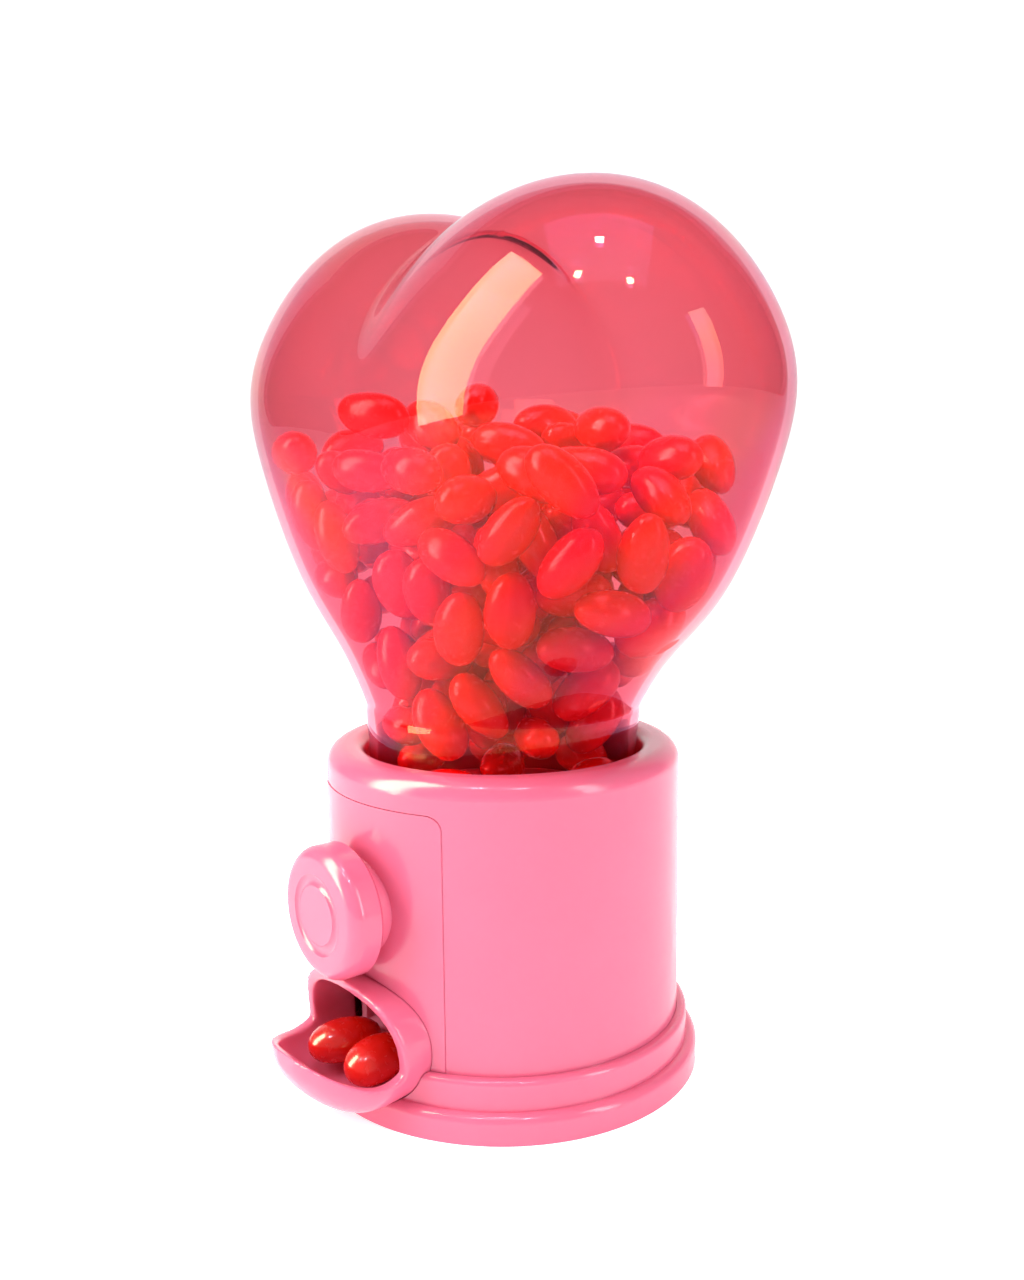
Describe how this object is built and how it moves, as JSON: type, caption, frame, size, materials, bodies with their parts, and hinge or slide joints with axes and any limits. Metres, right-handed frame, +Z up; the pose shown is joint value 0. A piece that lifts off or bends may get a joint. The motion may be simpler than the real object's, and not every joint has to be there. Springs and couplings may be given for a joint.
{
  "type": "heart-shaped sweet dispenser",
  "caption": "Small hand-held sweet dispenser: a clear heart-shaped globe on a round base, with a turning knob and a hooded chute.",
  "frame": {"origin": "centre of the base's flat underside", "axes": "+Z up, -Y towards the knob and chute, the heart's lobes towards -X and +X"},
  "size_m": [0.1188, 0.0854, 0.1595],
  "materials": {
    "clear_rose": "clear rose-tinted plastic with a faint pearly sheen",
    "sweet_red": "glossy sugar shell",
    "pink_plastic": "glossy moulded",
    "inner_plastic": "moulded, satin",
    "drum_plastic": "moulded, satin",
    "screw_steel": "zinc plated",
    "spring_steel": "drawn wire"
  },
  "bodies": {
    "base": {"body_shell": "pink_plastic", "foot_ring": "pink_plastic", "bottom_plate": "pink_plastic", "base_screws": "screw_steel", "front_panel": "pink_plastic", "hopper": "inner_plastic", "hopper_screws": "screw_steel", "drum_housing": "inner_plastic", "housing_screws": "screw_steel", "chute": "pink_plastic", "chute_ramp": "inner_plastic", "sweets_in_chute": "sweet_red"},
    "rotor": {"knob": "pink_plastic", "knob_shaft": "drum_plastic", "drum": "drum_plastic", "drum_washer": "screw_steel", "drum_screw": "screw_steel", "shaft_spring": "spring_steel"},
    "globe": {"globe": "clear_rose", "sweets_in_globe": "sweet_red"}
  },
  "joints": [
    {"name": "knob_turn", "type": "hinge", "parent": "base", "child": "rotor", "pos_m": [0, 0, 0.037], "axis": [0, 1, 0], "continuous": true},
    {"name": "globe_lift", "type": "slide", "parent": "base", "child": "globe", "axis": [0, 0, 1], "range_m": [0, 0.08]}
  ]
}
